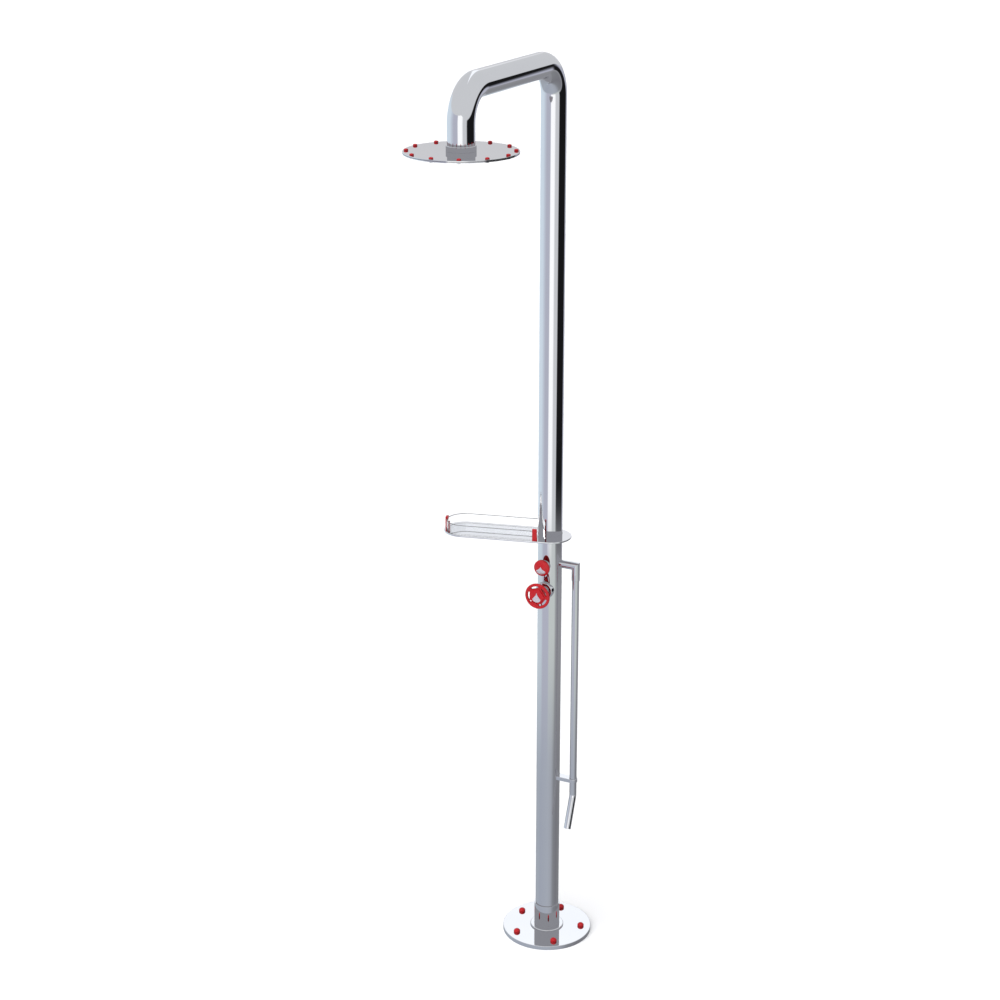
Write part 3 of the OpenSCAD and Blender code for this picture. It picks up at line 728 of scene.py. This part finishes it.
def head_fasteners():
    screw_low, screw_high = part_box("head_screws")
    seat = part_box("head_nozzle_plate")[0].z
    depth = seat - screw_low.z
    end = screw_high.z - seat
    pan_r = 4 * MM
    pan = rounded([(0, -depth), (pan_r - 0.3 * MM, -depth), (pan_r, 0), (HEAD_SCREW_R, 0),
                   (HEAD_SCREW_R, end), (0, end)], [0, 1.3 * MM, 0.15 * MM, 0, 0.4 * MM, 0], 5)
    fixed("head_screws_pan", "head_screws", "plain_steel", lathe(pan, 32), head_screw_places(seat))
    nut_low, nut_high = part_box("head_nuts")
    hexagon = nut(7 * MM, 0, nut_high.z - nut_low.z, bore=HEAD_SCREW_R + SLIP, soft=0.3 * MM)
    fixed("head_nuts_hex", "head_nuts", "plain_steel", hexagon, head_screw_places(nut_low.z))
    cap_low, cap_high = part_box("head_caps")
    moulding = cap(4.8 * MM, 0, cap_high.z - cap_low.z, inner_r=4.15 * MM, pocket=2.5 * MM, ball_r=9 * MM,
                   shoulder=0.8 * MM)
    fixed("head_caps_moulded", "head_caps", "red_plastic", moulding, head_screw_places(cap_low.z))


# ---------------------------------------------------------------- valves

MARK_LOW = 6 * MM        # the widest line of both marks, below the middle


def saddle(points, radius, below):
    """Moves the points that lie below a height in a front_at() frame onto the column's surface."""
    return [(x, y, sqrt(radius ** 2 - x ** 2)) if z < below else (x, y, z) for x, y, z in points]


def rose(node, name, bore, height, soft):
    """A cover rose that follows the column's curve."""
    outer = reach_of(node)
    end = -low(node).y
    outline = rounded([(bore, 0), (outer, 0), (outer, end), (bore, end)], [0, 0, soft, 0.3 * MM], 8)
    points, faces = lathe(outline, 96)
    points = saddle(points, TUBE_R + SLIP, 10 * MM)
    fixed(name, node, "polished_steel", (points, faces), [front_at(height)])


def bonnet(node, name, bore, height):
    end = -low(node).y
    start = -high(node).y
    outline = rounded([(bore, start), (reach_of(node), start), (reach_of(node), end), (bore, end)],
                      [0, 0, 1 * MM, 0.3 * MM], 5)
    fixed(name, node, "polished_steel", lathe(outline, 96), [front_at(height)])


def wheel_slot(turn, inner_flat, outer_r, half_spoke):
    """One of the wheel's five slots, clockwise: hub flat inside, rim arc outside, spokes at its sides."""
    half = pi / 5
    corner_in = inner_flat / cos(half)
    side_in = half - asin(half_spoke / corner_in)
    side_out = half - asin(half_spoke / outer_r)
    inner = [(corner_in * cos(s * side_in), corner_in * sin(s * side_in)) for s in (-1, 1)]
    outer = arc(outer_r, side_out, -side_out, 16)
    outline = rounded(inner + outer, [1.6 * MM] * 2 + [2.2 * MM] + [0] * 15 + [2.2 * MM], 5)
    return [(x * cos(turn) - y * sin(turn), x * sin(turn) + y * cos(turn)) for x, y in outline][::-1]


def handwheel():
    """A round rim bar, a flat web with five slots, a five-sided hub and a round boss behind it."""
    rim_out = reach_of("handwheel")
    bar_r = 3.7 * MM
    rim_r = rim_out - bar_r
    hub_flat = 17.3 * MM
    hub_half = 5.5 * MM
    web_half = 2.6 * MM
    front = -low("handwheel").y
    middle = front - hub_half
    back = -high("handwheel").y
    place = [front_at(MAIN_Z)]
    shell = Shell().add(*lathe(circle(bar_r, 32, (rim_r, middle)), 128), place)
    slots = [wheel_slot(pi + 2 * pi * i / 5, inner_flat=hub_flat, outer_r=rim_r - 1.8 * MM,
                        half_spoke=3.3 * MM) for i in range(5)]
    shell.add(*plate([circle(rim_r, 96), *slots], middle - web_half, middle + web_half,
                     1.2 * MM, 1.2 * MM, steps=6), place)
    hub = rounded(polygon(5, hub_flat - 0.4 * MM), 2.5 * MM, 6)
    shell.add(*plate([hub], middle - hub_half, front, 1.5 * MM, 1.6 * MM, steps=6), place)
    bore = MAIN_STEM_R + SLIP
    boss_r = 18 * MM
    boss_back_r = boss_r - 2 * MM
    boss_end = middle - hub_half + 1 * MM
    boss = rounded([(bore, back), (boss_back_r, back), (boss_r, boss_end), (bore, boss_end)],
                   [0, 1.6 * MM, 0, 0], 4)
    shell.add(*lathe(boss, 96), place)
    shell.piece("handwheel_moulded", "main_wheel", ["handwheel"], "red_plastic", 40)
    mark_low, mark_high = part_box("handwheel_mark")
    widest = MAIN_Z - MARK_LOW
    outline = drop_outline(mark_high.x, mark_high.z - widest, widest - mark_low.z, 0.4 * MM)
    Shell().add(*plate([outline], -mark_high.y - 0.1 * MM, -mark_low.y, 0, 0.2 * MM, steps=3),
                [front_at(widest)]).piece(
        "handwheel_mark_inlay", "main_wheel", ["handwheel_mark"], "silver_mark")


def domed_plate(outline, height, base, top, soft, steps=6):
    """A thin plate on a dome: height(x, y) is the dome's own, base and top are counted from it."""
    brim = [(p.x, p.y) for p in inset(outline, soft)]
    inner = [[(x * i / steps, y * i / steps) for x, y in brim] for i in range(1, steps)]
    levels = [(ring, base) for ring in inner] + [(outline, base), (outline, top - soft), (brim, top)]
    levels += [(ring, top) for ring in inner[::-1]]
    points = [(x, y, height(x, y) + lift) for ring, lift in levels for x, y in ring]
    around = len(outline)
    faces = []
    for k in range(around):
        n = (k + 1) % around
        faces += [[i * around + k, i * around + n, (i + 1) * around + n, (i + 1) * around + k]
                  for i in range(len(levels) - 1)]
        faces += [[len(points), n, k], [len(points) + 1, len(points) - around + k, len(points) - around + n]]
    return points + [(0, 0, height(0, 0) + base), (0, 0, height(0, 0) + top)], faces


def main_valve():
    rose("main_escutcheon", "main_escutcheon_spun", MAIN_BONNET_R + SLIP, MAIN_Z, 2 * MM)
    bonnet("main_bonnet", "main_bonnet_turned", MAIN_STEM_R + SLIP, MAIN_Z)
    nut_start, nut_end = -high("packing_nut").y, -low("packing_nut").y
    hexagon = nut(22 * MM, nut_start, nut_end, bore=MAIN_STEM_R + SLIP, soft=0.8 * MM)
    fixed("packing_nut_hex", "packing_nut", "polished_steel", hexagon, [front_at(MAIN_Z)])
    handwheel()


def foot_valve():
    rose("foot_escutcheon", "foot_escutcheon_spun", FOOT_BONNET_R + SLIP, FOOT_Z, 2 * MM)
    bonnet("foot_bonnet", "foot_bonnet_turned", FOOT_STEM_R + SLIP, FOOT_Z)
    knob_r = reach_of("foot_knob")
    back, top = -high("foot_knob").y, -low("foot_knob").y
    rise = 6 * MM
    ball_r = (knob_r ** 2 + rise ** 2) / (2 * rise)
    crown = dome(knob_r, top, ball_r, 24)
    bore = FOOT_STEM_R + SLIP
    ceiling = top - 4 * MM
    skirt = rounded([(bore, ceiling), (bore, back), (knob_r, back), crown[0], crown[2]],
                    [0, 0, 1.2 * MM, 1.0 * MM, 0], 6)
    Shell().add(*lathe([(0, ceiling)] + skirt[:-1] + crown[2:], 128), [front_at(FOOT_Z)]).piece(
        "foot_knob_moulded", "foot_control", ["foot_knob"], "red_plastic", 40)
    mark_low, mark_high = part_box("foot_knob_mark")
    widest = FOOT_Z - MARK_LOW
    outline = drop_outline(mark_high.x, mark_high.z - widest, widest - mark_low.z, 0.4 * MM)

    def height(x, y):
        return top - ball_r + sqrt(ball_r ** 2 - x ** 2 - (y - MARK_LOW) ** 2)
    Shell().add(*domed_plate(outline, height, -0.2 * MM, -mark_low.y - height(0, 0), 0.2 * MM),
                [front_at(widest)]).piece(
        "foot_knob_mark_inlay", "foot_control", ["foot_knob_mark"], "silver_mark")


# ---------------------------------------------------------------- foot wash

FOOT_BEND_R = 25 * MM
FOOT_TILT = radians(22.7)
ELBOW_R = 10.3 * MM
ELBOW_SOCKET = 16 * MM


def lip(size, steps=4):
    """(distance back from the end, shrink) stations that round a pipe's end."""
    turns = [pi / 2 * i / steps for i in range(steps + 1)]
    return [(size * (1 - sin(a)), size * (1 - cos(a))) for a in turns]


def foot_elbow():
    """A sharp-cornered elbow, mitred at its corner, with a spigot end hidden in the column."""
    bottom = low("foot_elbow").z
    across, level, upright = (0, 1, 0), (0, 0, 1), (1, 0, 0)
    way = 6 * MM
    bore = FOOT_R + SLIP
    shoulder = bottom + ELBOW_SOCKET
    rings = [station((TUBE_R / 2, 0, FOOT_Z), across, level, ELBOW_R, way),
             station((FOOT_X, 0, FOOT_Z), across, (1, 0, 1), ELBOW_R, way),
             station((FOOT_X, 0, shoulder + 0.01 * MM), across, upright, ELBOW_R, way),
             station((FOOT_X, 0, shoulder), across, upright, ELBOW_R, bore)]
    rings += [station((FOOT_X, 0, bottom + back), across, upright, ELBOW_R - shrink, bore)
              for back, shrink in lip(0.7 * MM)]
    points, faces = pipe(rings, 72)
    wall = TUBE_R + SLIP
    points = [Vector((sqrt(wall ** 2 - p.y ** 2), p.y, p.z)) if p.x < 0.6 * TUBE_R else p for p in points]
    fixed("foot_elbow_mitred", "foot_elbow", "polished_steel", (points, faces), sharp=20)


def foot_pipes():
    pipe_low, pipe_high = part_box("foot_pipe")
    inner = FOOT_R - 1.5 * MM
    straight = [station((FOOT_X, 0, z), (1, 0, 0), (0, 1, 0), FOOT_R, inner)
                for z in (pipe_low.z, pipe_high.z)]
    made = piped("foot_pipe_polished", "foot_pipe", straight)
    true_normals(made, lambda p: Vector((p.x - FOOT_X, p.y, 0)).normalized())
    rings = bend_stations(-FOOT_BEND_R, pipe_low.z, FOOT_BEND_R, 0, -FOOT_TILT, FOOT_R, inner, FOOT_X, 16)
    along = Vector((0, -sin(FOOT_TILT), -cos(FOOT_TILT)))
    outward = Vector((0, cos(FOOT_TILT), -sin(FOOT_TILT)))
    turned = rings[-1][0]
    length = (turned.z - low("foot_spout").z - FOOT_R * sin(FOOT_TILT)) / cos(FOOT_TILT)
    rings += [station(turned + along * (length - back), (1, 0, 0), outward,
                      FOOT_R - shrink, inner + shrink * 0.6) for back, shrink in lip(0.6 * MM)]
    piped("foot_spout_polished", "foot_spout", rings)


def foot_clamp():
    """A flat-topped standoff with a round end that holds the foot pipe."""
    half = (high("foot_clamp").y - low("foot_clamp").y) / 2
    wall = TUBE_R + SLIP
    seat = atan2(half, sqrt(wall ** 2 - half ** 2))
    outline = arc(half, -pi / 2, pi / 2, 32, (FOOT_X, 0)) + arc(wall, seat, -seat, 16)
    outlines = [outline, hole(FOOT_R + SLIP, 64, (FOOT_X, 0))]
    fixed("foot_clamp_cast", "foot_clamp", "polished_steel",
          plate(outlines, low("foot_clamp").z, high("foot_clamp").z, 0.8 * MM, 0.8 * MM), sharp=40)


# ---------------------------------------------------------------- shelf

SHELF_TURN = radians(193.4)
SHELF_BACK = -4.3 * MM   # the near round end's middle, along the shelf
SHELF_SIDE = 17.5 * MM   # the shelf's middle line, in front of the column
SHELF_R = 52 * MM
SHELF_L = 217 * MM
SHELF_TOP = high("shelf_plate").z
BAND_R = SHELF_R - 6 * MM
BAND_T = 2 * MM
CLIP_U = 30.6 * MM       # the middle of the two near clips, along the shelf
CLIP_W = 11.5 * MM
CLIP_HOOK = -BAND_T - SLIP
CLIP_FOOT = 4 * MM
CLIP_SCREW_R = 1.25 * MM
CLIP_SCREW = BAND_R + CLIP_HOOK - CLIP_FOOT / 2


def shelf_frame():
    """+X runs out along the shelf, +Y to its front side, z = 0 on the plate's top."""
    return spin(SHELF_TURN) @ at(SHELF_BACK, SHELF_SIDE, SHELF_TOP)


def clip_screw_places():
    return [(CLIP_U, CLIP_SCREW), (CLIP_U, -CLIP_SCREW), (SHELF_L + CLIP_SCREW, 0)]


def shelf_plate():
    outline = arc(SHELF_R, pi / 2, 3 * pi / 2, 72) + arc(SHELF_R, -pi / 2, pi / 2, 72, (SHELF_L, 0))
    holes = [hole(CLIP_SCREW_R + 0.2 * MM, 20, place) for place in clip_screw_places()]
    outlines = [outline, hole(TUBE_R + SLIP, 96, (-SHELF_BACK, -SHELF_SIDE)), *holes]
    underside = low("shelf_plate").z - SHELF_TOP
    fixed("shelf_plate_cut", "shelf_plate", "polished_steel",
          plate(outlines, underside, 0, 0.8 * MM, 0.8 * MM), [shelf_frame()], sharp=40)


def shelf_band():
    start = CLIP_U - CLIP_W / 2
    inner_r = BAND_R - BAND_T
    outer = [(start, -BAND_R)] + arc(BAND_R, -pi / 2, pi / 2, 96, (SHELF_L, 0)) + [(start, BAND_R)]
    inner = [(start, inner_r)] + arc(inner_r, pi / 2, -pi / 2, 96, (SHELF_L, 0)) + [(start, -inner_r)]
    band_low, band_top = low("shelf_band").z - SHELF_TOP, high("shelf_band").z - SHELF_TOP
    fixed("shelf_band_clear", "shelf_band", "clear_plastic",
          plate([outer + inner], band_low, band_top, 0.3 * MM, 0.3 * MM), [shelf_frame()], sharp=40)


def clip_section():
    """x runs outwards from the band's outside, y up from the plate's top."""
    outside = 3 * MM
    top = high("shelf_clips").z - SHELF_TOP
    band_low = low("shelf_band").z - SHELF_TOP - SLIP
    band_top = high("shelf_band").z - SHELF_TOP + SLIP
    tongue = top - 8 * MM
    tongue_in = CLIP_HOOK - 1.5 * MM
    foot_in = CLIP_HOOK - CLIP_FOOT
    foot_top = band_top - 9 * MM
    corners = [(outside, 0), (outside, top), (tongue_in, top), (tongue_in, tongue), (CLIP_HOOK, tongue),
               (CLIP_HOOK, band_top), (SLIP, band_top), (SLIP, band_low), (CLIP_HOOK, band_low),
               (CLIP_HOOK, foot_top), (foot_in, foot_top), (foot_in, 0)]
    soft = [0.3, 1.4, 1.4, 0.7, 0.4, 0, 0, 0, 0, 0.4, 1.0, 0.3]
    return rounded(corners, [r * MM for r in soft], 4)


def shelf_clips():
    """Two straight clips at the near end and one bent round the tip."""
    points, faces = plate([clip_section()], 0, CLIP_W, 0.4 * MM, 0.4 * MM, cuts=9)
    shell = Shell()
    for side in (1, -1):
        straight = [(CLIP_U - CLIP_W / 2 + z, side * (BAND_R + x), y) for x, y, z in points]
        shell.add(straight, faces, [shelf_frame()])
    turned = [((z - CLIP_W / 2) / BAND_R, BAND_R + x, y) for x, y, z in points]
    shell.add([(SHELF_L + r * cos(a), r * sin(a), y) for a, r, y in turned], faces, [shelf_frame()])
    shell.piece("shelf_clips_moulded", "stand", ["shelf_clips"], "red_plastic", 40)


def shelf_screws():
    """Pan-headed screws under the plate, one for each clip."""
    seat = low("shelf_plate").z
    head_base = low("shelf_screws").z - seat
    end = high("shelf_screws").z - seat
    head_r = 2.5 * MM
    pan = rounded([(0, head_base), (head_r, head_base), (head_r, 0), (CLIP_SCREW_R, 0),
                   (CLIP_SCREW_R, end), (0, end)], [0, 0.9 * MM, 0.1 * MM, 0, 0.3 * MM, 0], 5)
    level = shelf_frame() @ at(0, 0, seat - SHELF_TOP)
    fixed("shelf_screws_pan", "shelf_screws", "plain_steel",
          lathe(pan, 32), [level @ at(x, y, 0) for x, y in clip_screw_places()])


# ---------------------------------------------------------------- sealed inner pieces


def kept_nodes():
    """CAD nodes that stay as they are and only get their material, by the record's slots."""
    slots = {s["node"]: s["material_slot"] for s in frame["record"]["subparts"]}
    for name, node in frame["nodes"].items():
        if not node.hide_render:
            node.data.materials.clear()
            node.data.materials.append(MATERIALS[slots[name]])


# ---------------------------------------------------------------- stage

CAMERA_AT = (1.986, -4.344, 2.892)
CAMERA_TURN = (radians(70.519), 0, radians(26.06))
CAMERA_SIDE = radians(-65.4)    # the camera's direction from the column, round +Z from +X
LENS_MM = 74.04
SENSOR_MM = 36
FLOOR_R = 60
WALL_RISE = 15                  # degrees that the walls on the camera's left stand above the horizon


def camera():
    made = bpy.data.objects.new("camera", bpy.data.cameras.new("camera"))
    made.data.sensor_width = SENSOR_MM
    made.data.lens = LENS_MM
    made.data.clip_end = 50
    made.location = CAMERA_AT
    made.rotation_euler = CAMERA_TURN
    bpy.context.scene.collection.objects.link(made)
    bpy.context.scene.camera = made


def floor():
    mesh = bpy.data.meshes.new("floor")
    points, faces = plate([circle(FLOOR_R, 96)], -20 * MM, -0.1 * MM)
    mesh.from_pydata(points, [], faces)
    made = bpy.data.objects.new("floor", mesh)
    bpy.context.scene.collection.objects.link(made)
    n = Nodes("pale_floor").set(Specular_IOR_Level=0.2)
    n.colour(n.mix(n.noise(3), (0.91, 0.91, 0.91), (0.94, 0.94, 0.94)))
    n.rough(n.range(n.noise(30), 0.6, 0.8))
    mesh.materials.append(n.material)
    made.visible_glossy = False


def key_light():
    """A very large soft light from above the camera's left; the polished steel doesn't mirror it."""
    light = bpy.data.lights.new("key", "SUN")
    light.energy = 3.6
    light.angle = radians(80)
    made = bpy.data.objects.new("key", light)
    made.rotation_euler = (radians(38), 0, radians(-12))
    made.visible_glossy = False
    bpy.context.scene.collection.objects.link(made)


class World(Tree):
    """The studio round the object, painted by direction: azimuth from the camera's side, and elevation."""

    def __init__(self, towards_camera):
        world = bpy.data.worlds.new("studio")
        bpy.context.scene.world = world
        world.use_nodes = True
        super().__init__(world.node_tree)
        self.tree.nodes.clear()
        turn = self.new("ShaderNodeVectorRotate")
        turn.rotation_type = "Z_AXIS"
        turn.inputs["Angle"].default_value = -towards_camera
        self.link(self.new("ShaderNodeTexCoord").outputs["Generated"], turn.inputs["Vector"])
        x, y, z = (self.part(turn.outputs["Vector"], axis) for axis in "XYZ")
        self.azimuth = self.maths("MULTIPLY_ADD", self.maths("ARCTAN2", y, x), 1 / (2 * pi), 0.5)
        self.height = self.maths("MULTIPLY_ADD", self.maths("ARCSINE", z), 1 / pi, 0.5)

    def plain(self, colour):
        made = self.new("ShaderNodeRGB")
        made.outputs["Color"].default_value = (*colour, 1)
        return made.outputs["Color"]

    def around(self, *bands):
        """A ring of colours: (degrees to the right of the camera's side, colour) stops, blended between."""
        return self.ramp(self.azimuth, [(a / 360 + 0.5, c) for a, c in bands])

    def upwards(self, *bands):
        """A factor or colour by elevation: (degrees above the horizon, colour) stops."""
        return self.ramp(self.height, [(e / 180 + 0.5, c) for e, c in bands])

    def ramp(self, source, stops):
        made = self.new("ShaderNodeValToRGB")
        ramp = made.color_ramp
        while len(ramp.elements) < len(stops):
            ramp.elements.new(0.5)
        for element, (position, colour) in zip(ramp.elements, stops):
            element.position = position
            element.color = (*colour, 1) if isinstance(colour, tuple) else (colour, colour, colour, 1)
        self.link(source, made.inputs["Fac"])
        return made.outputs["Color"]

    def shine(self, colour, dim):
        """White to the camera, the studio to a mirror, and dim to matt faces and mirrors in mirrors."""
        path = self.new("ShaderNodeLightPath").outputs
        shaders = []
        for source in (colour, dim, (1, 1, 1)):
            background = self.new("ShaderNodeBackground")
            if isinstance(source, tuple):
                background.inputs["Color"].default_value = (*source, 1)
            else:
                self.link(source, background.inputs["Color"])
            shaders.append(background.outputs["Background"])
        twice_mirrored = self.maths("GREATER_THAN", path["Glossy Depth"], 1.5)
        indirect = self.maths("MAXIMUM", path["Is Diffuse Ray"], twice_mirrored)
        lit = self.either(indirect, shaders[0], shaders[1])
        seen = self.either(path["Is Camera Ray"], lit, shaders[2])
        self.link(seen, self.new("ShaderNodeOutputWorld").inputs["Surface"])

    def either(self, factor, first, last):
        """The first shader where the factor is 0, and the last where it is 1."""
        made = self.new("ShaderNodeMixShader")
        for socket, source in zip(made.inputs, (factor, first, last)):
            self.link(source, socket)
        return made.outputs["Shader"]


def studio():
    """A light tent: an even sky, pale walls with a white strip and a dark panel, and a grey floor."""
    w = World(CAMERA_SIDE)
    pale_blue, lavender, grey = (0.70, 0.80, 0.89), (0.50, 0.51, 0.60), (0.66, 0.67, 0.69)
    white, black, dim = (1.15, 1.15, 1.15), (0.010, 0.010, 0.011), (0.42, 0.43, 0.47)
    walls = w.around((-180, pale_blue), (-100, pale_blue), (-60, lavender), (-28, lavender), (-23, white),
                     (8, white), (20, grey), (46, grey), (53, black), (131, black), (136, lavender),
                     (146, lavender), (153, dim), (172, dim), (180, pale_blue))
    blue_green, green_grey, dark = (0.62, 0.70, 0.76), (0.60, 0.64, 0.62), (0.30, 0.30, 0.32)
    lower_walls = w.around((-180, blue_green), (-85, blue_green), (-66, lavender), (-14, lavender),
                           (-4, green_grey), (45, green_grey), (66, dark), (160, dark), (180, blue_green))
    ground = w.around((-180, (0.36, 0.38, 0.42)), (-110, (0.42, 0.46, 0.52)), (-80, (0.40, 0.43, 0.50)),
                      (0, (0.43, 0.46, 0.52)), (30, (0.40, 0.42, 0.47)), (56, (0.25, 0.26, 0.28)),
                      (90, (0.21, 0.21, 0.23)), (172, (0.26, 0.27, 0.28)), (180, (0.30, 0.31, 0.33)))
    back_sky = w.upwards((0, (0.62, 0.62, 0.64)), (10, (0.65, 0.65, 0.67)), (20, (0.90, 0.91, 0.94)),
                         (28, (1.10, 1.13, 1.18)), (60, (1.12, 1.15, 1.20)))
    behind = w.around((-180, 1.0), (-175, 1.0), (-172, 0.0), (172, 0.0), (175, 1.0), (180, 1.0))
    sky = w.blend(behind, w.plain(grey), back_sky)
    lower = w.blend(w.upwards((-27, 0.0), (-23.5, 1.0)), ground, lower_walls)
    under = w.blend(w.upwards((-21.5, 0.0), (-19.5, 1.0)), lower, walls)
    wall_rise = w.around((-180, 0.0), (-150, 0.0), (-138, 1.0), (0, 1.0), (14, 0.7), (45, 0.0), (180, 0.0))
    above_walls = w.maths("MULTIPLY_ADD", wall_rise, -WALL_RISE / 180, w.height)
    is_sky = w.ramp(above_walls, [(0.497, 0.0), (0.503, 1.0)])
    w.shine(w.blend(is_sky, under, sky), (0.34, 0.34, 0.36))


column()
arm()
base()
anchors()
head()
head_fasteners()
main_valve()
foot_valve()
foot_elbow()
foot_pipes()
foot_clamp()
shelf_plate()
shelf_band()
shelf_clips()
shelf_screws()
kept_nodes()
camera()
floor()
key_light()
studio()
bpy.context.scene.view_settings.view_transform = "Standard"
